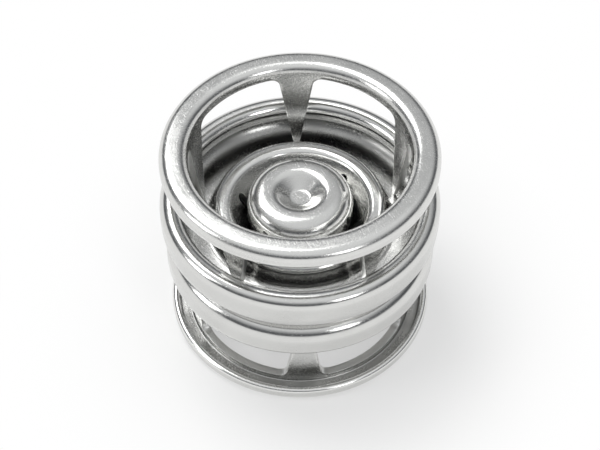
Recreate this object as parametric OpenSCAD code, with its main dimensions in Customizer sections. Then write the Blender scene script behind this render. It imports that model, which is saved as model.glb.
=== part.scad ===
// Open-ring prong snap fastener, about 10 mm across, closed and not yet set in cloth.
// From the bottom up it is a prong ring, the stud that stands on its prongs, the socket that is
// snapped over the post of the stud, and a second prong ring that stands in the socket.
// Each is one pressing of thin sheet, drawn as a bent strip and turned about +Z.
// The origin is on the axis, in the plane that the lower ring lies on.

/* [Post] */
// Diameter of the head of the post, which the rest is built round
head_d = 3.7; // [3.4:0.05:4.2]
// Reach of the head beyond the neck, on the radius
head_swell = 0.2; // [0.1:0.02:0.3]
// Height of the post above the face of the stud
post_h = 1.9; // [1.75:0.05:2.4]
// Radius of the round shoulder of the head, at mid sheet
head_shoulder = 0.5; // [0.3:0.05:0.55]
// Width of the head's round crest, from its side to the edge of the dimple
crest_w = 0.9; // [0.85:0.05:1.1]
// Diameter of the floor of the dimple
dimple_floor_d = 0.8; // [0.5:0.05:0.9]
// Depth of the dimple
dimple_depth = 0.4; // [0.25:0.05:0.5]

/* [Stud] */
// Sheet thickness of the stud and of the socket
cap_sheet = 0.25; // [0.2:0.01:0.28]
// Width of the rolled rim of the stud
stud_rim_w = 0.65; // [0.6:0.05:0.9]
// Height of the rolled rim of the stud
stud_rim_h = 1.3; // [1.2:0.05:1.6]
// Bend radius of the stud's front edge, at mid sheet
stud_edge_bend = 0.4; // [0.2:0.05:0.5]
// Bend radius at the mouth of the moat, at mid sheet
moat_mouth_bend = 0.25; // [0.16:0.01:0.35]
// Bend radius of the moat's outer foot, at mid sheet
moat_foot_bend = 0.38; // [0.2:0.02:0.4]
// Bend radius from the moat up into the neck, at mid sheet
neck_foot_bend = 0.45; // [0.2:0.05:0.5]

/* [Socket] */
// Width of the rolled rim of the socket
socket_rim_w = 0.75; // [0.6:0.05:0.9]
// Height of the socket, from its domed face to the top of its rim
socket_h = 1.75; // [1.65:0.05:2.1]
// Bend radius of the outer side of the domed face, at mid sheet
dome_outer_bend = 0.75; // [0.5:0.05:0.9]
// Bend radius of the inner side of the domed face, at mid sheet
dome_inner_bend = 0.5; // [0.3:0.05:0.6]
// Height of the ridge round the funnel, above the domed face
ridge_h = 1.25; // [1.15:0.05:1.5]
// Width of the crest of the ridge, at mid sheet
ridge_w = 0.38; // [0.34:0.02:0.5]
// Bend radius of the ridge, at mid sheet
ridge_bend = 0.16; // [0.15:0.01:0.2]

/* [Spring collar] */
// Gap inside the folded sheet of the collar
fold_gap = 0.05; // [0.03:0.01:0.1]
// Reach of the collar below the domed face
collar_drop = 0.5; // [0.4:0.05:0.7]
// Height of the collar's folded edge above the domed face
collar_fold_h = 0.12; // [0:0.02:0.2]
// Height of the straight throat above the domed face
throat_h = 0.35; // [0.3:0.05:0.45]
// Number of slots that part the collar into spring fingers
slot_n = 6; // [4:1:8]
// Width of a slot
slot_w = 0.32; // [0.2:0.02:0.4]
// Height of the closed end of a slot above the domed face
slot_h = 0.85; // [0.6:0.05:0.95]

/* [Prong rings] */
// Width of the band, from its outside edge to the open middle
ring_band = 0.95; // [0.85:0.05:1.2]
// Sheet thickness of a prong ring
ring_sheet = 0.28; // [0.22:0.01:0.32]
// Height of the turned outside edge of the band
ring_edge_h = 0.6; // [0.55:0.05:0.9]
// Height of the lip round the open middle, between the prongs
ring_lip_h = 0.5; // [0.45:0.05:0.8]
// Bend radius of the band's outside edge, at mid sheet
ring_edge_bend = 0.2; // [0.17:0.01:0.24]
// Bend radius from the band up into the prongs, at mid sheet
ring_root_bend = 0.2; // [0.17:0.01:0.24]

/* [Prongs] */
// Number of prongs on a ring
prong_n = 5; // [3:1:7]
// Height of the prong tips above the face of the ring
prong_h = 3.8; // [3.4:0.1:4.4]
// Width of a prong above its root
prong_w = 1.15; // [0.9:0.05:1.5]
// Radius of the hollows beside the root of a prong
prong_root = 0.35; // [0.15:0.05:0.5]
// Width of the blunt tip of a prong
prong_tip_w = 0.14; // [0.1:0.02:0.24]
// Thickness of the tip of a prong
prong_tip_sheet = 0.1; // [0.06:0.01:0.16]
// Length over which the outside of a prong is thinned to its tip
prong_taper = 0.9; // [0.5:0.1:1.4]
// Lean of the prongs towards the axis, in degrees
prong_lean = 4; // [0:0.5:5]

/* [Clearances] */
// Between the head of the post and the sprung throat, on the radius
snap_clear = 0.02; // [0.01:0.01:0.05]
// Between the face of the stud and the face of the socket
face_clear = 0.05; // [0.02:0.01:0.15]
// Between the collar and the floor of the moat
moat_floor_clear = 0.32; // [0.25:0.01:0.4]
// Between the collar and the outer wall of the moat
moat_wall_clear = 0.25; // [0.2:0.01:0.35]
// Between the collar and the inner wall of the domed face
groove_w = 0.36; // [0.32:0.01:0.45]
// Between the inner wall of the domed face and the open middle of a ring
prong_clear = 0.77; // [0.6:0.01:0.9]
// Between the root of the prongs and the inside of a rolled rim
rim_clear = 0.05; // [0.02:0.01:0.15]

/* [Hidden] */
$fn = 120;

// Steps of a bend, in degrees, and of a round sheet edge
bend_step = 12;
edge_steps = 6;

// From the post outwards: the throat of the collar, its folded outside, the outer wall of the moat
// and the inner wall of the domed face
head_r = head_d / 2;
throat_r = head_r + snap_clear;
collar_r = throat_r + 2 * cap_sheet + fold_gap;
moat_r = collar_r + moat_wall_clear;
well_r = collar_r + groove_w;

// The open middle of a ring, its outside, and its prongs at mid sheet
ring_open_r = well_r + cap_sheet + prong_clear;
ring_r = ring_open_r + ring_band;
prong_r = ring_open_r + ring_sheet / 2;
prong_slant = tan(prong_lean);
prong_half = ring_sheet / 2 / cos(prong_lean);

// Inside radius of both rolled rims, round the prongs, and the outsides of the stud and the socket
rim_r = ring_open_r + ring_sheet + rim_clear;
stud_r = rim_r + stud_rim_w;
socket_r = rim_r + socket_rim_w;

// Heights: the tips of the prongs stand on the inside of the stud and of the socket
stud_z = prong_h + cap_sheet;
socket_z = stud_z + face_clear;
top_z = socket_z + cap_sheet + prong_h;

// Depth of the moat below the face of the stud
moat_depth = collar_drop - face_clear + moat_floor_clear;
// Height at which the neck of the post starts to widen into the head
neck_h = face_clear + throat_h;
// Rise from the neck to the full width of the head
head_rise = 0.35;
// Bend radii of the neck and the underside of the head
head_bend = 0.3;
// Bend radii at the edge and the foot of the dimple
dimple_bend = 0.3;
// Length of the straight edge that a rolled rim turns into the channel
rim_lip = 0.2;
// Bend radius between the funnel and the throat
funnel_bend = 0.4;

bright_nickel = [0.8, 0.8, 0.78];

// A pressing is a strip of sheet. Its middle line is a list of corners, each with its radius, its
// height and the radius of its bend. The two ends of the line have no bend.
function unit(v) = v / norm(v);
function flat(corner) = [corner[0], corner[1]];
function toward(angle) = [cos(angle), sin(angle)];
function half_turn(angle) = angle - 360 * round(angle / 360);

// The middle line is worked out as pairs: a point, and the direction in which the line goes there
function bend(before, corner, after) =
    let (
        to_before = unit(flat(before) - flat(corner)),
        to_after = unit(flat(after) - flat(corner)),
        half = acos(to_before * to_after) / 2,
        centre = flat(corner) + unit(to_before + to_after) * corner[2] / sin(half),
        first = flat(corner) + to_before * corner[2] / tan(half) - centre,
        last = flat(corner) + to_after * corner[2] / tan(half) - centre,
        start = atan2(first[1], first[0]),
        sweep = half_turn(atan2(last[1], last[0]) - start),
        steps = max(2, ceil(abs(sweep) / bend_step))
    )
    [
        for (i = [0:steps])
            let (a = start + sweep * i / steps)
            [centre + corner[2] * toward(a), toward(a + 90 * sign(sweep))]
    ];

function bent(corners) =
    let (
        last = len(corners) - 1,
        start = flat(corners[0]),
        end = flat(corners[last])
    )
    concat(
        [[start, unit(flat(corners[1]) - start)]],
        [for (i = [1:last - 1]) each bend(corners[i - 1], corners[i], corners[i + 1])],
        [[end, unit(end - flat(corners[last - 1]))]]
    );

// Leaves out a point that lies on the one before it
function spaced(line) =
    [
        for (i = [0:len(line) - 1])
            if (i == 0 || norm(line[i][0] - line[max(i - 1, 0)][0]) > 0.001)
                line[i]
    ];

// The line moved sideways, to its left
function beside(line, d) =
    [for (pair = line) pair[0] + d * [-pair[1][1], pair[1][0]]];

function reversed(list) = [for (i = [len(list) - 1:-1:0]) list[i]];

// The rounded edge of a sheet that ends at a point, going in direction u
function round_edge(point, u, sheet) =
    let (a = atan2(u[1], u[0]) + 90)
    [for (i = [1:edge_steps - 1]) point + sheet / 2 * toward(a - 180 * i / edge_steps)];

// The section of a strip. Its first edge is rounded, and so is its last unless last_edge gives that
// edge's own points, from the left of the line to its right.
function section(corners, sheet, last_edge) =
    let (
        line = spaced(bent(corners)),
        first = line[0],
        last = line[len(line) - 1]
    )
    concat(
        beside(line, sheet / 2),
        is_undef(last_edge) ? round_edge(last[0], last[1], sheet) : last_edge,
        reversed(beside(line, -sheet / 2)),
        round_edge(first[0], -first[1], sheet)
    );

module pressing(corners, sheet, last_edge) {
    rotate_extrude() polygon(section(corners, sheet, last_edge));
}

// Corners of a rolled rim: its free edge, the roll, and the outside wall up to the front edge.
// side is 1 where the roll is above the face and -1 where it is below.
function rolled_rim(r, w, h, side, edge_bend) =
    let (roll = (w - cap_sheet) / 2, far = side * (h - cap_sheet / 2))
    [
        [r - w + cap_sheet / 2, far - side * (roll + rim_lip), 0],
        [r - w + cap_sheet / 2, far, roll],
        [r - cap_sheet / 2, far, roll],
        [r - cap_sheet / 2, side * cap_sheet / 2, edge_bend]
    ];

// Radius of the middle of a prong's sheet at a height above the face of the ring
function prong_line(z) = prong_r - (z - ring_sheet / 2) * prong_slant;

// Outline of a prong, seen from the axis: hollows at its root, and straight sides to a blunt tip
function prong_side(hand) =
    let (hollow = [prong_w / 2 + prong_root, ring_lip_h + prong_root])
    concat(
        [[hand * hollow[0], ring_sheet]],
        [for (a = [270:-15:180]) let (p = hollow + prong_root * toward(a)) [hand * p[0], p[1]]],
        [[hand * prong_tip_w / 2, prong_h], [hand * prong_tip_w / 2, 2 * prong_h]]
    );

// What is punched out between the prongs, above the lip
module prong_gaps() {
    difference() {
        translate([0, 0, ring_lip_h]) cylinder(r = prong_r + ring_sheet, h = prong_h);
        for (i = [0:prong_n - 1]) {
            rotate(i * 360 / prong_n)
                rotate([90, 0, 90])
                    linear_extrude(ring_r)
                        polygon(concat(prong_side(-1), reversed(prong_side(1))));
        }
    }
}

// The band turns up into the wall that the prongs are cut from. Its outside is thinned to the tips.
module prong_ring() {
    mid = ring_sheet / 2;
    taper_z = prong_h - prong_taper;
    tip_r = prong_line(prong_h) - prong_half;
    color(bright_nickel)
        difference() {
            pressing(
                [
                    [ring_r - mid, ring_edge_h - mid, 0],
                    [ring_r - mid, mid, ring_edge_bend],
                    [prong_r, mid, ring_root_bend],
                    [prong_line(taper_z), taper_z, 0]
                ],
                ring_sheet,
                [[tip_r, prong_h], [tip_r + prong_tip_sheet, prong_h]]
            );
            prong_gaps();
        }
}

module lower_prong_ring() {
    prong_ring();
}

// The upper ring is turned over, and by half a pitch so that both rings show their prongs
module upper_prong_ring() {
    translate([0, 0, top_z]) rotate([180, 0, 180 / prong_n]) prong_ring();
}

module stud() {
    mid = cap_sheet / 2;
    neck_r = head_r - head_swell - mid;
    color(bright_nickel)
        translate([0, 0, stud_z])
            pressing(
                concat(
                    rolled_rim(stud_r, stud_rim_w, stud_rim_h, -1, stud_edge_bend),
                    [
                        [moat_r + mid, -mid, moat_mouth_bend],
                        [moat_r + mid, -moat_depth - mid, moat_foot_bend],
                        [neck_r, -moat_depth - mid, neck_foot_bend],
                        [neck_r, neck_h, head_bend],
                        [head_r - mid, neck_h + head_rise, head_bend],
                        [head_r - mid, post_h - mid, head_shoulder],
                        [head_r - crest_w, post_h - mid, dimple_bend],
                        [dimple_floor_d / 2, post_h - dimple_depth - mid, dimple_bend],
                        [0, post_h - dimple_depth - mid, 0]
                    ]
                ),
                cap_sheet,
                []
            );
}

// One slot: an upright cut through the funnel and the collar, with a round upper end
module collar_slot() {
    inside = throat_r - slot_w;
    reach = collar_r + groove_w / 2 - inside;
    translate([inside, -slot_w / 2, -collar_drop - slot_w])
        cube([reach, slot_w, slot_h + collar_drop + slot_w / 2]);
    translate([inside, 0, slot_h - slot_w / 2])
        rotate([0, 90, 0])
            cylinder(d = slot_w, h = reach);
}

module socket() {
    mid = cap_sheet / 2;
    fold = (cap_sheet + fold_gap) / 2;
    color(bright_nickel)
        translate([0, 0, socket_z])
            difference() {
                pressing(
                    concat(
                        rolled_rim(socket_r, socket_rim_w, socket_h, 1, dome_outer_bend),
                        [
                            [well_r + mid, mid, dome_inner_bend],
                            [well_r + mid, ridge_h - mid, ridge_bend],
                            [well_r + mid - ridge_w, ridge_h - mid, ridge_bend],
                            [throat_r + mid, throat_h, funnel_bend],
                            [throat_r + mid, mid - collar_drop, fold],
                            [collar_r - mid, mid - collar_drop, fold],
                            [collar_r - mid, collar_fold_h, 0]
                        ]
                    ),
                    cap_sheet
                );
                for (i = [0:slot_n - 1]) {
                    rotate(i * 360 / slot_n)
                        collar_slot();
                }
            }
}

lower_prong_ring();
stud();
socket();
upper_prong_ring();
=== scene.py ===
import math
import random

import bmesh
import bpy
from mathutils import Matrix, Vector
from mathutils.bvhtree import BVHTree

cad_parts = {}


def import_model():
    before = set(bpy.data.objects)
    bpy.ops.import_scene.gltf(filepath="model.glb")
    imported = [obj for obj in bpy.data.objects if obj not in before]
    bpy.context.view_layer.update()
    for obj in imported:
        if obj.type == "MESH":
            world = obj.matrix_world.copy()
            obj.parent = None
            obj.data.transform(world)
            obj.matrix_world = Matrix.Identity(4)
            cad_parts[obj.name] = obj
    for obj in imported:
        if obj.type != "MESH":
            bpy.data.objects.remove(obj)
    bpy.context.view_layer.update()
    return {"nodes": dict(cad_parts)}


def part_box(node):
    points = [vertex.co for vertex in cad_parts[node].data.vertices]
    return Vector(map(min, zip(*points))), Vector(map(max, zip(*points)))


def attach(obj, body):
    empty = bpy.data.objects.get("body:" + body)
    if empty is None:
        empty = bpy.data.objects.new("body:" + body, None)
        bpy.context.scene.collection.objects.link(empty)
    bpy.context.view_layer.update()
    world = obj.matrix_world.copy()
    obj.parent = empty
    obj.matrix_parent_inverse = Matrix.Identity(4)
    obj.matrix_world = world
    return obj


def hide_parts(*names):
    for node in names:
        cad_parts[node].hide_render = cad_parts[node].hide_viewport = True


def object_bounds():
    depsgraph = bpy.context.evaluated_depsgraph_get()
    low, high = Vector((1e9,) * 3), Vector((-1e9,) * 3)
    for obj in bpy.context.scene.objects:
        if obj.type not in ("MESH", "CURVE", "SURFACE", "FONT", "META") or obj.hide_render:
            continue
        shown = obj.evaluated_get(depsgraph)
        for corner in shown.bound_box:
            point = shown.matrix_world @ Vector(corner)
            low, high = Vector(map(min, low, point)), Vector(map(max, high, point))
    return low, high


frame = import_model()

mm = 0.001
print("frame loaded:", sorted(frame["nodes"]))

# The view of the photograph: from well above, a little to the right of the middle
picture = {"width": 600, "height": 450, "azimuth": 16, "elevation": 50, "lens": 90, "fill": 0.92}

# How finely the sheet is drawn (degrees and millimetres)
drawing = {
    "bendStep": 7.5, "straightStep": 0.13, "edgeSteps": 4, "sharpEdge": 40,
    "joinDistance": 0.0005, "shortestEdge": 0.0001,
}


# A pressing is a strip of sheet. Its middle line is a list of corners: radius, height, bend radius (mm).
def bendPoints(before, corner, after):
    here = Vector(corner[:2])
    toBefore = (Vector(before[:2]) - here).normalized()
    toAfter = (Vector(after[:2]) - here).normalized()
    half = math.acos(max(-1.0, min(1.0, toBefore.dot(toAfter)))) / 2
    centre = here + (toBefore + toAfter).normalized() * corner[2] / math.sin(half)
    first = here + toBefore * corner[2] / math.tan(half) - centre
    last = here + toAfter * corner[2] / math.tan(half) - centre
    start = math.atan2(first.y, first.x)
    sweep = math.remainder(math.atan2(last.y, last.x) - start, 2 * math.pi)
    side = math.copysign(1, sweep)
    count = max(2, math.ceil(abs(sweep) / math.radians(drawing["bendStep"])))
    points = []
    for i in range(count + 1):
        a = start + sweep * i / count
        heading = Vector((-math.sin(a), math.cos(a))) * side
        points.append((centre + corner[2] * Vector((math.cos(a), math.sin(a))), heading))
    return points


# The whole middle line as (point, heading), its straights cut into short steps.
# heights are levels at which a straight gets a point of its own, such as round the end of a slot.
def middleLine(corners, heights=()):
    start, end = Vector(corners[0][:2]), Vector(corners[-1][:2])
    line = [(start, (Vector(corners[1][:2]) - start).normalized())]
    for i in range(1, len(corners) - 1):
        line += bendPoints(corners[i - 1], corners[i], corners[i + 1])
    line.append((end, (end - Vector(corners[-2][:2])).normalized()))
    fine = [line[0]]
    for point, heading in line[1:]:
        last = fine[-1][0]
        gap = point - last
        if gap.length < 0.001:
            continue
        straight = gap.length > 1.5 * drawing["straightStep"]
        count = math.ceil(gap.length / drawing["straightStep"])
        shares = {i / count for i in range(1, count)} if straight else set()
        if straight and abs(gap.y) > 0.001:
            shares |= {(z - last.y) / gap.y for z in heights}
        for share in sorted(s for s in shares if 0.001 < s < 0.999):
            fine.append((last + gap * share, heading))
        fine.append((point, heading))
    return fine


# Rows of a sheet: the two points either side of the middle line, and the middle's own height
def sheetRows(line, sheet):
    rows = []
    for point, heading in line:
        normal = Vector((-heading.y, heading.x)) * sheet / 2
        rows.append((point + normal, point - normal, point.y))
    return rows


# The rounded edge at the start (side -1) or the end (side 1) of a sheet, where its two faces meet
def edgeRows(point, heading, sheet, side):
    normal = Vector((-heading.y, heading.x)) * sheet / 2
    rows = []
    for i in range(1, drawing["edgeSteps"] + 1):
        a = math.pi / 2 * i / drawing["edgeSteps"]
        out = point + side * heading * sheet / 2 * math.sin(a)
        rows.append((out + normal * math.cos(a), out - normal * math.cos(a), point.y))
    return rows[::side]


# Points of one row, spread round the axis
def rowPoints(mesh, point, angles):
    radius, height = point.x * mm, point.y * mm
    return [mesh.verts.new((radius * math.cos(a), radius * math.sin(a), height)) for a in angles]


def stripFaces(mesh, one, other):
    return [mesh.faces.new((one[j], one[j + 1], other[j + 1], other[j])) for j in range(len(one) - 1)]


# An empty sector of a pressing. Faces that the punch shears are marked in it, for the finish.
def newSector():
    mesh = bmesh.new()
    mesh.faces.layers.float.new("cut")
    return mesh


def markCut(mesh, faces):
    cut = mesh.faces.layers.float["cut"]
    for face in faces:
        face[cut] = 1.0


# Adds one stretch of sheet: both faces, and a cut wall along a column (0 or -1) where its test of the
# height holds. cutEnd closes the last row with a flat cut.
def addSheet(mesh, rows, spread, walls=None, cutEnd=False):
    sheared = []
    grid = [
        (rowPoints(mesh, one, spread(one.x, height)), rowPoints(mesh, other, spread(other.x, height)))
        for one, other, height in rows
    ]
    for k in range(len(grid) - 1):
        (near, nearBack), (far, farBack) = grid[k], grid[k + 1]
        stripFaces(mesh, near, far)
        stripFaces(mesh, nearBack, farBack)
        for column, isCut in (walls or {}).items():
            if isCut(rows[k][2]) or isCut(rows[k + 1][2]):
                wall = (near[column], far[column], farBack[column], nearBack[column])
                sheared.append(mesh.faces.new(wall))
    if cutEnd:
        sheared += stripFaces(mesh, *grid[-1])
    markCut(mesh, sheared)


# Repeats a sector of a pressing round the axis and joins the copies
def sectorTree():
    tree = bpy.data.node_groups.new("sectorsRoundAxis", "GeometryNodeTree")
    tree.interface.new_socket("Sector", in_out="INPUT", socket_type="NodeSocketGeometry")
    tree.interface.new_socket("Copies", in_out="INPUT", socket_type="NodeSocketInt")
    tree.interface.new_socket("Join Distance", in_out="INPUT", socket_type="NodeSocketFloat")
    tree.interface.new_socket("Finish", in_out="INPUT", socket_type="NodeSocketMaterial")
    tree.interface.new_socket("Pressing", in_out="OUTPUT", socket_type="NodeSocketGeometry")
    given = addNode(tree, "NodeGroupInput")
    places = addNode(tree, "GeometryNodeMeshLine", {"Offset": (0, 0, 0)}, {
        "Count": given.outputs["Copies"],
    })
    points = addNode(tree, "GeometryNodeMeshToPoints", {}, {"Mesh": places.outputs[0]})
    index = addNode(tree, "GeometryNodeInputIndex")
    pitch = addNode(tree, "ShaderNodeMath", {"operation": "DIVIDE", 0: 2 * math.pi}, {
        1: given.outputs["Copies"],
    })
    turn = addNode(tree, "ShaderNodeMath", {"operation": "MULTIPLY"}, {
        0: index.outputs[0], 1: pitch.outputs[0],
    })
    angle = addNode(tree, "ShaderNodeCombineXYZ", {}, {"Z": turn.outputs[0]})
    copies = addNode(tree, "GeometryNodeInstanceOnPoints", {}, {
        "Points": points.outputs[0], "Instance": given.outputs["Sector"], "Rotation": angle.outputs[0],
    })
    real = addNode(tree, "GeometryNodeRealizeInstances", {}, {0: copies.outputs[0]})
    joined = addNode(tree, "GeometryNodeMergeByDistance", {}, {
        "Geometry": real.outputs[0], "Distance": given.outputs["Join Distance"],
    })
    painted = addNode(tree, "GeometryNodeSetMaterial", {}, {
        "Geometry": joined.outputs[0], "Material": given.outputs["Finish"],
    })
    addNode(tree, "NodeGroupOutput", {}, {0: painted.outputs[0]})
    return tree


# Adds a node: settings are its own properties or its sockets' values, links go to its sockets
def addNode(tree, kind, settings=None, links=None):
    node = tree.nodes.new(kind)
    for name, value in (settings or {}).items():
        if isinstance(name, int) or name in node.inputs:
            node.inputs[name].default_value = value
        else:
            setattr(node, name, value)
    for name, source in (links or {}).items():
        tree.links.new(source, node.inputs[name])
    return node


def turnRound(name, sector, copies, finish, tree):
    mesh = bpy.data.meshes.new(name)
    sector.to_mesh(mesh)
    sector.free()
    piece = bpy.data.objects.new(name, mesh)
    bpy.context.scene.collection.objects.link(piece)
    repeat = piece.modifiers.new("sectors", "NODES")
    repeat.node_group = tree
    values = {"Copies": copies, "Join Distance": drawing["joinDistance"] * mm, "Finish": finish}
    for socket in tree.interface.items_tree:
        if socket.in_out == "INPUT" and socket.name in values:
            repeat[socket.identifier] = values[socket.name]
    plainMesh(piece, name)
    piece.data.materials.clear()
    piece.data.materials.append(finish)
    whole = bmesh.new()
    whole.from_mesh(piece.data)
    for face in whole.faces:
        face.material_index = 0
    bmesh.ops.remove_doubles(whole, verts=whole.verts, dist=drawing["joinDistance"] * mm)
    bmesh.ops.dissolve_degenerate(whole, edges=whole.edges, dist=drawing["shortestEdge"] * mm)
    bmesh.ops.recalc_face_normals(whole, faces=whole.faces)
    loose = [edge for edge in whole.edges if len(edge.link_faces) != 2]
    whole.to_mesh(piece.data)
    whole.free()
    print(name, "sheet drawn:", len(piece.data.polygons), "faces,", len(loose), "edges not closed")
    return piece


# Replaces a piece's mesh by what its modifiers make of it
def plainMesh(piece, name):
    bpy.context.view_layer.update()
    evaluated = piece.evaluated_get(bpy.context.evaluated_depsgraph_get())
    made = bpy.data.meshes.new_from_object(evaluated)
    made.name = name
    piece.modifiers.clear()
    piece.data = made


# Blunts the cut edges of a pressing, as tumbling does
def bluntEdges(piece, width):
    blunt = piece.modifiers.new("blunt edges", "BEVEL")
    blunt.width = width * mm
    blunt.segments = 2
    blunt.limit_method = "ANGLE"
    blunt.angle_limit = math.radians(drawing["sharpEdge"])
    plainMesh(piece, piece.name)
    piece.data.shade_smooth()


# Evens out values at the vertices with those of their neighbours
def smoothed(mesh, values, times):
    for _ in range(times):
        total, count = list(values), [1] * len(values)
        for edge in mesh.edges:
            a, b = edge.vertices
            total[a] += values[b]
            total[b] += values[a]
            count[a] += 1
            count[b] += 1
        values = [t / n for t, n in zip(total, count)]
    return values


# How much each point is worn bright, from how tightly the surface bends outwards there
def markWear(piece, settings):
    mesh = piece.data
    bend, count = [0.0] * len(mesh.vertices), [0] * len(mesh.vertices)
    for edge in mesh.edges:
        a, b = (mesh.vertices[i] for i in edge.vertices)
        gap = a.co - b.co
        share = 2 * mm / max(gap.length_squared, (drawing["shortestEdge"] * mm) ** 2)
        bend[a.index] += a.normal.dot(gap) * share
        bend[b.index] -= b.normal.dot(gap) * share
        count[a.index] += 1
        count[b.index] += 1
    low, full = settings["from"], settings["full"]
    worn = [max(0.0, min(1.0, (t / max(n, 1) - low) / (full - low))) for t, n in zip(bend, count)]
    wear = mesh.attributes.new("worn", "FLOAT", "POINT")
    wear.data.foreach_set("value", smoothed(mesh, worn, settings["smoothing"]))


# How sheltered each point is by the piece's own form, from 0 in the open to 1 deep in a channel.
# Tumbling reaches the open places most, and dull film stays in the sheltered ones. The finishes also paint
# shade with it: the plate's colour is darker where this is high.
def markShelter(piece, settings):
    mesh = piece.data
    tree = BVHTree.FromPolygons([v.co for v in mesh.vertices], [list(p.vertices) for p in mesh.polygons])
    chance = random.Random(settings["seed"])
    rays = []
    for i in range(settings["rays"]):
        a = 2 * math.pi * chance.random()
        rise = math.sqrt((i + 0.5) / settings["rays"])
        flatPart = math.sqrt(1 - rise * rise)
        rays.append(Vector((flatPart * math.cos(a), flatPart * math.sin(a), rise)))
    reach = settings["reach"] * mm
    values = []
    for vertex in mesh.vertices:
        turn = vertex.normal.to_track_quat("Z", "Y").to_matrix()
        start = vertex.co + vertex.normal * settings["lift"] * mm
        hits = sum(tree.ray_cast(start, turn @ ray, reach)[0] is not None for ray in rays)
        values.append(hits / len(rays))
    shelter = mesh.attributes.new("shelter", "FLOAT", "POINT")
    shelter.data.foreach_set("value", smoothed(mesh, values, settings["smoothing"]))


# sRGB hex to linear colour
def colour(hexValue):
    channels = [int(hexValue[i:i + 2], 16) / 255 for i in (1, 3, 5)]
    return [c / 12.92 if c <= 0.04045 else ((c + 0.055) / 1.055) ** 2.4 for c in channels] + [1.0]


shelterRays = {"rays": 20, "reach": 1.5, "lift": 0.01, "smoothing": 2, "seed": 4}
edgeWear = {"from": 0.5, "full": 3.2, "smoothing": 1}  # curvatures, per millimetre

# Bright nickel plate over pressed brass sheet, tumbled. The eye sees a neutral mirror with a thin haze in
# patches, fine lines round the axis where the sheet was drawn over the tool, and a darker colour in the
# channels, which is painted shade together with dull film where the tumbling media did not reach. Sizes
# are in millimetres.
ringFinish = {
    "open": "#D4D4D2", "shadeAndFilmColour": "#858583", "worn": "#E8E8E6", "polished": 0.13, "hazed": 0.26,
    "hazePatch": 1.3, "dentPitch": 0.34, "dentDepth": 0.0035, "linePitch": 0.055, "lineDepth": 0.0009,
    "scuffLength": 1.5, "scuffWidth": 0.035, "scuffDepth": 0.0006, "shearPitch": 0.06, "shearDepth": 0.003,
}
capFinish = {
    "open": "#D3D3D1", "shadeAndFilmColour": "#7F7F7D", "worn": "#E8E8E6", "polished": 0.09, "hazed": 0.2,
    "hazePatch": 1.6, "dentPitch": 0.42, "dentDepth": 0.003, "linePitch": 0.05, "lineDepth": 0.0011,
    "scuffLength": 1.7, "scuffWidth": 0.035, "scuffDepth": 0.0006, "shearPitch": 0.06, "shearDepth": 0.003,
}
# What both finishes share: how much each mark changes the roughness, the shelter at which the painted
# shade and the film start and are full, the film that haze brings, how tightly the drawn lines follow the
# axis, and the scuffs' turns
plating = {
    "lineRough": 0.07, "filmRough": 0.16, "cutRough": 0.14, "scuffRough": 0.1, "wornRough": -0.04,
    "shadeFilmStart": 0.25, "shadeFilmFull": 0.9, "hazeFilm": 0.12, "lineReach": 2.2, "lineRise": 1.37,
    "scuffTurns": ((0.3, 0.5, 0.9), (-0.6, 0.2, 2.3)),
}


# Noise in patches about as wide as the pitch
def patches(tree, place, pitch, detail, roughness=0.5):
    return addNode(tree, "ShaderNodeTexNoise", {
        "Scale": 1 / (pitch * mm), "Detail": detail, "Roughness": roughness,
    }, {"Vector": place}).outputs[0]


# A value that the piece's own mesh carries
def ownValue(tree, name):
    return addNode(tree, "ShaderNodeAttribute", {"attribute_name": name}).outputs["Fac"]


# Lines that change fast across the drawn sheet and slowly round the axis
def drawnLines(tree, place, pitch):
    axes = addNode(tree, "ShaderNodeSeparateXYZ", {}, {0: place})
    flatPlace = addNode(tree, "ShaderNodeCombineXYZ", {}, {"X": axes.outputs["X"], "Y": axes.outputs["Y"]})
    radius = addNode(tree, "ShaderNodeVectorMath", {"operation": "LENGTH"}, {0: flatPlace.outputs[0]})
    outwards = addNode(tree, "ShaderNodeVectorMath", {"operation": "NORMALIZE"}, {0: flatPlace.outputs[0]})
    around = addNode(tree, "ShaderNodeVectorMath", {"operation": "SCALE", "Scale": plating["lineReach"]}, {
        0: outwards.outputs[0],
    })
    aroundAxes = addNode(tree, "ShaderNodeSeparateXYZ", {}, {0: around.outputs[0]})
    across = addNode(tree, "ShaderNodeMath", {"operation": "MULTIPLY_ADD", 1: plating["lineRise"]}, {
        0: axes.outputs["Z"], 2: radius.outputs["Value"],
    })
    count = addNode(tree, "ShaderNodeMath", {"operation": "MULTIPLY", 1: 1 / (pitch * mm)}, {
        0: across.outputs[0],
    })
    linePlace = addNode(tree, "ShaderNodeCombineXYZ", {}, {
        "X": aroundAxes.outputs["X"], "Y": aroundAxes.outputs["Y"], "Z": count.outputs[0],
    })
    return addNode(tree, "ShaderNodeTexNoise", {"Scale": 1.0, "Detail": 2.0, "Roughness": 0.6}, {
        "Vector": linePlace.outputs[0],
    }).outputs[0]


# Short scuffs from other fasteners in the barrel, in two directions. The real ones are about
# 0.01 mm wide and are drawn wider here so that they show.
def scuffMarks(tree, place, finish):
    marks = []
    for turn in plating["scuffTurns"]:
        along = addNode(tree, "ShaderNodeMapping", {
            "vector_type": "TEXTURE", "Rotation": turn,
            "Scale": (finish["scuffLength"] * mm, finish["scuffWidth"] * mm, finish["scuffWidth"] * mm),
        }, {"Vector": place})
        streak = addNode(tree, "ShaderNodeTexNoise", {"Scale": 1.0, "Detail": 0.0}, {
            "Vector": along.outputs[0],
        })
        marks.append(addNode(tree, "ShaderNodeMapRange", {
            "interpolation_type": "SMOOTHSTEP", "From Min": 0.62, "From Max": 0.82,
        }, {"Value": streak.outputs[0]}).outputs[0])
    return addNode(tree, "ShaderNodeMath", {"operation": "MAXIMUM"}, dict(enumerate(marks))).outputs[0]


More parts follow.
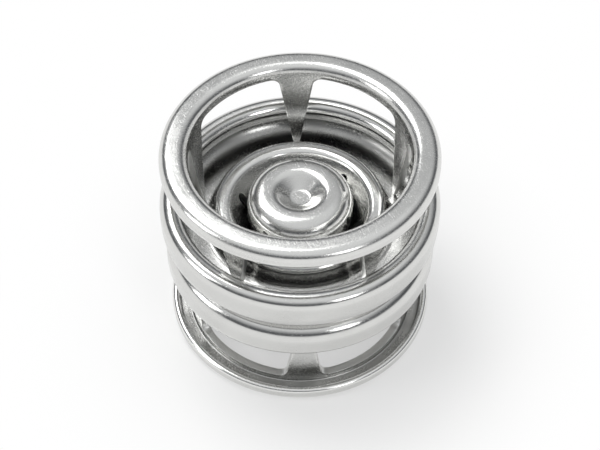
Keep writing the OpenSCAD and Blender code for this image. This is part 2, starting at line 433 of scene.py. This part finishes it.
def nickelPlate(name, finish):
    material = bpy.data.materials.new(name)
    material.use_nodes = True
    tree = material.node_tree
    tree.nodes.clear()
    place = addNode(tree, "ShaderNodeTexCoord").outputs["Object"]
    lines = drawnLines(tree, place, finish["linePitch"])
    scuffs = scuffMarks(tree, place, finish)
    dents = patches(tree, place, finish["dentPitch"], 1.0, 0.4)
    haze = addNode(tree, "ShaderNodeMapRange", {"From Min": 0.3, "From Max": 0.7}, {
        "Value": patches(tree, place, finish["hazePatch"], 4.0, 0.62),
    }).outputs[0]
    cut, worn = ownValue(tree, "cut"), ownValue(tree, "worn")
    # The punch leaves coarse lines through the thickness of the sheet
    shear = addNode(tree, "ShaderNodeMath", {"operation": "MULTIPLY"}, {
        0: patches(tree, place, finish["shearPitch"], 2.0), 1: cut,
    }).outputs[0]
    # Painted shade and dull film: where the piece shelters itself, the colour darkens as if in shade and the
    # roughness rises
    paintedShadeAndFilm = addNode(tree, "ShaderNodeMapRange", {
        "interpolation_type": "SMOOTHSTEP",
        "From Min": plating["shadeFilmStart"], "From Max": plating["shadeFilmFull"],
    }, {"Value": ownValue(tree, "shelter")}).outputs[0]
    shadeFilmHazeTone = addNode(tree, "ShaderNodeMath", {"operation": "MULTIPLY_ADD", 1: plating["hazeFilm"]}, {
        0: haze, 2: paintedShadeAndFilm,
    })
    # The plate's colour turns darker in the channels: painted shade, mixed with the dull film and the haze
    # patches
    plate = addNode(tree, "ShaderNodeMix", {
        "data_type": "RGBA", "clamp_factor": True,
        6: colour(finish["open"]), 7: colour(finish["shadeAndFilmColour"]),
    }, {0: shadeFilmHazeTone.outputs[0]})
    # The tumbling media polish the rounded edges brightest
    edged = addNode(tree, "ShaderNodeMix", {"data_type": "RGBA", 7: colour(finish["worn"])}, {
        0: worn, 6: plate.outputs[2],
    })
    rough = addNode(tree, "ShaderNodeMapRange", {
        "To Min": finish["polished"], "To Max": finish["hazed"],
    }, {"Value": haze}).outputs[0]
    marks = {"lineRough": lines, "filmRough": paintedShadeAndFilm, "cutRough": cut, "scuffRough": scuffs, "wornRough": worn}
    for key, mark in marks.items():
        rough = addNode(tree, "ShaderNodeMath", {"operation": "MULTIPLY_ADD", 1: plating[key]}, {
            0: mark, 2: rough,
        }).outputs[0]
    relief = {}
    for height, depth, sunk in (
        (dents, finish["dentDepth"], False),
        (lines, finish["lineDepth"], False),
        (scuffs, finish["scuffDepth"], True),
        (shear, finish["shearDepth"], False),
    ):
        bump = addNode(tree, "ShaderNodeBump", {"Distance": depth * mm, "invert": sunk}, {
            "Height": height, **relief,
        })
        relief = {"Normal": bump.outputs[0]}
    surface = addNode(tree, "ShaderNodeBsdfPrincipled", {"Metallic": 1.0}, {
        "Base Color": edged.outputs[2], "Roughness": rough, **relief,
    })
    addNode(tree, "ShaderNodeOutputMaterial", {}, {"Surface": surface.outputs[0]})
    return material


sectors = sectorTree()
ringNickel = nickelPlate("brightNickelOnPressedRing", ringFinish)
capNickel = nickelPlate("brightNickelOnDrawnCap", capFinish)
print("nickel finishes mixed")


# Size of a CAD node in millimetres: its outside radius, and its lowest and highest level
def levels(node):
    low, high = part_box(node)
    return (high.x - low.x) / 2 / mm, low.z / mm, high.z / mm


# Open ring with prongs, cut from one strip and turned up
ringShape = {
    "sheet": 0.28, "band": 0.95, "edgeHeight": 0.6, "lipHeight": 0.5, "edgeBend": 0.2, "rootBend": 0.2,
    "prongs": 5, "prongWidth": 1.15, "rootHollow": 0.35, "tipWidth": 0.14, "tipSheet": 0.1,
    "taper": 0.9, "lean": 4, "sideColumns": 15, "prongColumns": 14, "hollowSteps": 10, "prongSteps": 22,
    "blunt": 0.022,
}


def makeRing(name, node, shape):
    outside, low, high = levels(node)
    sheet, mid, lip = shape["sheet"], shape["sheet"] / 2, shape["lipHeight"]
    tipHeight = high - low
    slant = math.tan(math.radians(shape["lean"]))
    halfWall = mid / math.cos(math.radians(shape["lean"]))
    prongRadius = outside - shape["band"] + mid
    taperHeight = tipHeight - shape["taper"]
    hollow = Vector((shape["prongWidth"] / 2 + shape["rootHollow"], lip + shape["rootHollow"]))

    def wallRadius(z):
        return prongRadius - (z - mid) * slant

    # Half the width of a prong at a height: a round hollow at its root, then straight to its tip
    def halfWidth(z):
        if z <= lip:
            return hollow.x
        if z < hollow.y:
            return hollow.x - math.sqrt(max(0, shape["rootHollow"] ** 2 - (hollow.y - z) ** 2))
        share = (z - hollow.y) / (tipHeight - hollow.y)
        return shape["prongWidth"] / 2 * (1 - share) + shape["tipWidth"] / 2 * share

    def prongSpread(radius, height):
        half = halfWidth(height)
        count = shape["prongColumns"]
        return [math.asin((2 * j / count - 1) * half / radius) for j in range(count + 1)]

    def fullSpread(radius, height):
        prong = prongSpread(radius, height)
        pitch, count = math.pi / shape["prongs"], shape["sideColumns"]
        side = [-pitch + (prong[0] + pitch) * j / count for j in range(count)]
        return side + prong + [-a for a in reversed(side)]

    line = middleLine([
        [outside - mid, shape["edgeHeight"] - mid, 0],
        [outside - mid, mid, shape["edgeBend"]],
        [prongRadius, mid, shape["rootBend"]],
        [wallRadius(lip), lip, 0],
    ])

    # In the wall, the two sides of the sheet are taken at the same height
    def wallRow(z):
        thinned = max(0, z - taperHeight) / shape["taper"]
        outer = halfWall + thinned * (shape["tipSheet"] - 2 * halfWall)
        return Vector((wallRadius(z) - halfWall, z)), Vector((wallRadius(z) + outer, z)), z

    band = edgeRows(*line[0], sheet, -1) + sheetRows(line[:-1], sheet)
    band = [(one, other, 0) for one, other, height in band] + [wallRow(lip)]
    steps, upright = shape["hollowSteps"], shape["prongSteps"]
    heights = [hollow.y - shape["rootHollow"] * math.cos(math.pi / 2 * i / steps) for i in range(steps + 1)]
    heights += [hollow.y + (tipHeight - hollow.y) * i / upright for i in range(1, upright + 1)]
    heights = sorted(heights + [taperHeight])

    sector = newSector()
    addSheet(sector, band, fullSpread)
    always = {0: lambda height: True, -1: lambda height: True}
    addSheet(sector, [wallRow(z) for z in heights], prongSpread, always, cutEnd=True)
    # The cut top of the lip, either side of the prong
    sides = shape["sideColumns"]
    for columns in (slice(0, sides + 1), slice(-sides - 1, None)):
        lipRow = [rowPoints(sector, point, fullSpread(point.x, lip)[columns]) for point in wallRow(lip)[:2]]
        markCut(sector, stripFaces(sector, *lipRow))
    piece = turnRound(name, sector, shape["prongs"], ringNickel, sectors)
    bluntEdges(piece, shape["blunt"])
    piece.data.transform(Matrix.Translation((0, 0, low * mm)))
    return piece


rimLip = 0.2  # straight edge that a rolled rim turns into its channel


# Outside corners of a rolled rim, shared by the stud and the socket: the free edge, the roll and the wall
def rolledRim(radius, width, height, side, edgeBend, sheet):
    roll = (width - sheet) / 2
    far = side * (height - sheet / 2)
    return [
        [radius - width + sheet / 2, far - side * (roll + rimLip), 0],
        [radius - width + sheet / 2, far, roll],
        [radius - sheet / 2, far, roll],
        [radius - sheet / 2, side * sheet / 2, edgeBend],
    ]


# Stud: rolled rim, flat face, moat and hollow post with a dimple
studShape = {
    "sheet": 0.25, "postHeight": 1.9, "headRadius": 1.85, "headSwell": 0.2, "shoulder": 0.5, "crest": 0.9,
    "dimpleFloor": 0.4, "dimpleDepth": 0.4, "dimpleBend": 0.3, "headRise": 0.35, "headBend": 0.3,
    "neckHeight": 0.4, "rimWidth": 0.65, "edgeBend": 0.4, "moatRadius": 2.67, "moatDepth": 0.77,
    "mouthBend": 0.25, "footBend": 0.38, "neckFootBend": 0.45, "sectors": 12, "columns": 20, "blunt": 0.02,
}


def makeStud(name, node, shape):
    outside, low, high = levels(node)
    sheet, mid = shape["sheet"], shape["sheet"] / 2
    face = high - shape["postHeight"]
    neck = shape["headRadius"] - shape["headSwell"] - mid
    top, head = shape["postHeight"] - mid, shape["headRadius"] - mid
    rim = rolledRim(outside, shape["rimWidth"], face - low, -1, shape["edgeBend"], sheet)
    line = middleLine(rim + [
        [shape["moatRadius"] + mid, -mid, shape["mouthBend"]],
        [shape["moatRadius"] + mid, -shape["moatDepth"] - mid, shape["footBend"]],
        [neck, -shape["moatDepth"] - mid, shape["neckFootBend"]],
        [neck, shape["neckHeight"], shape["headBend"]],
        [head, shape["neckHeight"] + shape["headRise"], shape["headBend"]],
        [head, top, shape["shoulder"]],
        [shape["headRadius"] - shape["crest"], top, shape["dimpleBend"]],
        [shape["dimpleFloor"], top - shape["dimpleDepth"], shape["dimpleBend"]],
        [0, top - shape["dimpleDepth"], 0],
    ])
    half, count = math.pi / shape["sectors"], shape["columns"]
    angles = [half * (2 * j / count - 1) for j in range(count + 1)]
    sector = newSector()
    rows = edgeRows(*line[0], sheet, -1) + sheetRows(line, sheet)
    addSheet(sector, rows, lambda radius, height: angles)
    piece = turnRound(name, sector, shape["sectors"], capNickel, sectors)
    bluntEdges(piece, shape["blunt"])
    piece.data.transform(Matrix.Translation((0, 0, face * mm)))
    return piece


# Socket: rolled rim, domed face, funnel, and the folded collar that slots part into spring fingers
socketShape = {
    "sheet": 0.25, "height": 1.75, "rimWidth": 0.75, "outerBend": 0.75, "innerBend": 0.5,
    "wellRadius": 2.78, "ridgeHeight": 1.25, "ridgeWidth": 0.38, "ridgeBend": 0.16,
    "throatRadius": 1.87, "throatHeight": 0.35, "funnelBend": 0.4, "foldGap": 0.05, "foldHeight": 0.12,
    "slots": 6, "slotWidth": 0.32, "slotHeight": 0.85, "columns": 20, "blunt": 0.018,
}


def makeSocket(name, node, shape):
    outside, low, high = levels(node)
    sheet, mid = shape["sheet"], shape["sheet"] / 2
    face = high - shape["height"]
    drop = face - low
    fold = (sheet + shape["foldGap"]) / 2
    well, throat = shape["wellRadius"] + mid, shape["throatRadius"] + mid
    collar = throat + 2 * fold
    slotEnd = shape["slotHeight"] - shape["slotWidth"] / 2
    ends = [slotEnd + shape["slotWidth"] / 2 * math.sin(math.radians(a)) for a in range(0, 91, 9)]
    rim = rolledRim(outside, shape["rimWidth"], shape["height"], 1, shape["outerBend"], sheet)
    line = middleLine(rim + [
        [well, mid, shape["innerBend"]],
        [well, shape["ridgeHeight"] - mid, shape["ridgeBend"]],
        [well - shape["ridgeWidth"], shape["ridgeHeight"] - mid, shape["ridgeBend"]],
        [throat, shape["throatHeight"], shape["funnelBend"]],
        [throat, mid - drop, fold],
        [collar, mid - drop, fold],
        [collar, shape["foldHeight"], 0],
    ], ends)
    rows = edgeRows(*line[0], sheet, -1) + sheetRows(line, sheet) + edgeRows(*line[-1], sheet, 1)
    # Only the funnel and the collar are slotted, from the ridge inwards
    ridge = well - shape["ridgeWidth"] / 2
    rows = [
        (one, other, height if (one.x + other.x) / 2 < ridge else shape["slotHeight"])
        for one, other, height in rows
    ]

    def slotHalf(height):
        if height <= slotEnd:
            return shape["slotWidth"] / 2
        return math.sqrt(max(0, (shape["slotWidth"] / 2) ** 2 - (height - slotEnd) ** 2))

    half, count = math.pi / shape["slots"], shape["columns"]

    def before(radius, height):
        edge = math.asin(slotHalf(height) / radius)
        return [-half + (half - edge) * j / count for j in range(count + 1)]

    def after(radius, height):
        return [-a for a in reversed(before(radius, height))]

    def slotOpen(height):
        return slotHalf(height) > 0.0005

    sector = newSector()
    addSheet(sector, rows, before, {-1: slotOpen})
    addSheet(sector, rows, after, {0: slotOpen})
    piece = turnRound(name, sector, shape["slots"], capNickel, sectors)
    bluntEdges(piece, shape["blunt"])
    piece.data.transform(Matrix.Translation((0, 0, face * mm)))
    return piece


lowerRing = makeRing("lowerProngRing", "lower_prong_ring", ringShape)
upperRing = makeRing("upperProngRing", "upper_prong_ring", ringShape)
stud = makeStud("studPressing", "stud", studShape)
socket = makeSocket("socketPressing", "socket", socketShape)

# The upper ring is turned over, and by half a pitch
lowest, highest = levels("upper_prong_ring")[1:]
turnOver = Matrix.Rotation(math.pi / ringShape["prongs"], 4, "Z") @ Matrix.Rotation(math.pi, 4, "X")
middle = Matrix.Translation((0, 0, (lowest + highest) / 2 * mm))
upperRing.data.transform(middle @ turnOver @ middle.inverted())

for piece, node, body, slot in (
    (lowerRing, "lower_prong_ring", "stud_half", "ring_nickel"),
    (stud, "stud", "stud_half", "cap_nickel"),
    (socket, "socket", "socket_half", "cap_nickel"),
    (upperRing, "upper_prong_ring", "socket_half", "ring_nickel"),
):
    markShelter(piece, shelterRays)
    markWear(piece, edgeWear)
    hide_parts(node)
    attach(piece, body)
    print(piece.name, "placed on", body)

# Pale floor, painted darker round the object as a soft contact shadow, and a plain soft studio. The softbox
# above and behind gives the broad highlights, and the grey band of the studio wall gives the metal something
# darker to reflect. The world's four levels are sines of the angle above the horizon; the floor's width is
# in metres and its other sizes in millimetres.
studio = {
    "floorColour": "#F3F3F2", "floorWidth": 1.6, "floorDrop": 0.02,
    "nearWhite": 0.45, "paintedShadowReach": 4.5, "whiteReach": 11.5,
    "horizon": "#FFFFFF", "wall": "#5A5C5F", "ceiling": "#EEEFF0",
    "horizonTop": 0.14, "wallFoot": 0.28, "wallTop": 0.48, "ceilingEdge": 0.86,
}
lamps = [
    {"name": "softboxBehind", "azimuth": 238, "elevation": 60, "distance": 90, "size": 50, "level": 0.5},
    {"name": "softboxLeft", "azimuth": 300, "elevation": 30, "distance": 95, "size": 30, "level": 0.16},
    {"name": "fillFront", "azimuth": 50, "elevation": 34, "distance": 110, "size": 26, "level": 0.1},
]


def direction(azimuth, elevation):
    a, e = math.radians(azimuth), math.radians(elevation)
    return Vector((math.sin(a) * math.cos(e), -math.cos(a) * math.cos(e), math.sin(e)))


# 1 for rays from the camera, and for those that metal or glass sends on, so that these show the ground too
def seenDirectly(tree):
    path = addNode(tree, "ShaderNodeLightPath")
    mirrored = addNode(tree, "ShaderNodeMath", {"operation": "MAXIMUM"}, {
        0: path.outputs["Is Camera Ray"], 1: path.outputs["Is Glossy Ray"],
    })
    return addNode(tree, "ShaderNodeMath", {"operation": "MAXIMUM"}, {
        0: mirrored.outputs[0], 1: path.outputs["Is Transmission Ray"],
    }).outputs[0]


# Paper that turns plain white away from the object. Near the object it shows its real shadow, and a painted
# shadow darkens it all round the object as well.
def makeFloor(settings):
    half = settings["floorWidth"] / 2
    corners = [(-half, -half, 0), (half, -half, 0), (half, half, 0), (-half, half, 0)]
    mesh = bpy.data.meshes.new("floor")
    mesh.from_pydata(corners, [], [(0, 1, 2, 3)])
    floor = bpy.data.objects.new("floor", mesh)
    bpy.context.scene.collection.objects.link(floor)
    floor.location.z = -settings["floorDrop"] * mm
    paper = bpy.data.materials.new("whitePaperSweep")
    paper.use_nodes = True
    tree = paper.node_tree
    tree.nodes.clear()
    matt = addNode(tree, "ShaderNodeBsdfDiffuse", {"Color": colour(settings["floorColour"])})
    white = addNode(tree, "ShaderNodeEmission", {"Color": (1, 1, 1, 1), "Strength": 1.0})
    place = addNode(tree, "ShaderNodeTexCoord")
    away = addNode(tree, "ShaderNodeVectorMath", {"operation": "LENGTH"}, {0: place.outputs["Object"]})
    # Painted shadow: less of the white glow near the object, so the paper darkens round it wherever the
    # light falls
    paintedShadowFade = addNode(tree, "ShaderNodeMapRange", {
        "interpolation_type": "SMOOTHSTEP", "From Min": settings["paintedShadowReach"] * mm,
        "From Max": settings["whiteReach"] * mm, "To Min": settings["nearWhite"], "To Max": 1.0,
    }, {"Value": away.outputs["Value"]})
    share = addNode(tree, "ShaderNodeMath", {"operation": "MULTIPLY"}, {
        0: seenDirectly(tree), 1: paintedShadowFade.outputs[0],
    })
    mix = addNode(tree, "ShaderNodeMixShader", {}, {
        0: share.outputs[0], 1: matt.outputs[0], 2: white.outputs[0],
    })
    addNode(tree, "ShaderNodeOutputMaterial", {}, {"Surface": mix.outputs[0]})
    mesh.materials.append(paper)


def makeWorld(settings):
    world = bpy.data.worlds.new("studio")
    world.use_nodes = True
    bpy.context.scene.world = world
    tree = world.node_tree
    tree.nodes.clear()
    way = addNode(tree, "ShaderNodeTexCoord")
    axes = addNode(tree, "ShaderNodeSeparateXYZ", {}, {0: way.outputs["Generated"]})
    ramp = addNode(tree, "ShaderNodeValToRGB", {}, {0: axes.outputs["Z"]})
    stops = ramp.color_ramp.elements
    stops[0].position, stops[0].color = settings["horizonTop"], colour(settings["horizon"])
    stops[1].position, stops[1].color = settings["ceilingEdge"], colour(settings["ceiling"])
    for level in ("wallFoot", "wallTop"):
        stops.new(settings[level]).color = colour(settings["wall"])
    light = addNode(tree, "ShaderNodeBackground", {"Strength": 1.0}, {"Color": ramp.outputs[0]})
    addNode(tree, "ShaderNodeOutputWorld", {}, {"Surface": light.outputs[0]})


def makeLamp(lamp, aim):
    data = bpy.data.lights.new(lamp["name"], "AREA")
    data.shape = "SQUARE"
    data.size = lamp["size"] * mm
    distance = lamp["distance"] * mm
    # The level is the light that a white card facing the lamp at the object would send back
    data.energy = lamp["level"] * math.pi ** 2 * distance ** 2
    source = bpy.data.objects.new(lamp["name"], data)
    away = direction(lamp["azimuth"], lamp["elevation"])
    source.location = aim + away * distance
    source.rotation_mode = "QUATERNION"
    source.rotation_quaternion = away.to_track_quat("Z", "Y")
    bpy.context.scene.collection.objects.link(source)


# Camera of the photograph's frame, as near as its fill of that frame asks
def makeCamera(settings, low, high):
    camera = bpy.data.objects.new("camera", bpy.data.cameras.new("camera"))
    bpy.context.scene.collection.objects.link(camera)
    camera.data.lens = settings["lens"]
    back = direction(settings["azimuth"], settings["elevation"])
    turn = back.to_track_quat("Z", "Y")
    centre = (low + high) / 2
    corners = [
        turn.inverted() @ (Vector((x, y, z)) - centre)
        for x in (low.x, high.x) for y in (low.y, high.y) for z in (low.z, high.z)
    ]
    wide = camera.data.sensor_width / camera.data.lens
    tall = wide * settings["height"] / settings["width"]
    distance = max(
        max(2 * abs(c.x) / wide, 2 * abs(c.y) / tall) / settings["fill"] + c.z for c in corners
    )
    camera.location = centre + back * distance
    camera.rotation_mode = "QUATERNION"
    camera.rotation_quaternion = turn
    camera.data.clip_start, camera.data.clip_end = distance / 50, distance * 100
    bpy.context.scene.camera = camera


bpy.context.view_layer.update()
low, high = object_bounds()
makeFloor(studio)
makeWorld(studio)
for lamp in lamps:
    makeLamp(lamp, (low + high) / 2)
makeCamera(picture, low, high)
bpy.context.scene.view_settings.view_transform = "Standard"
print("studio and camera set")

for piece in (lowerRing, stud, socket, upperRing):
    piece.data.calc_loop_triangles()
    print(piece.name, len(piece.data.loop_triangles), "triangles")
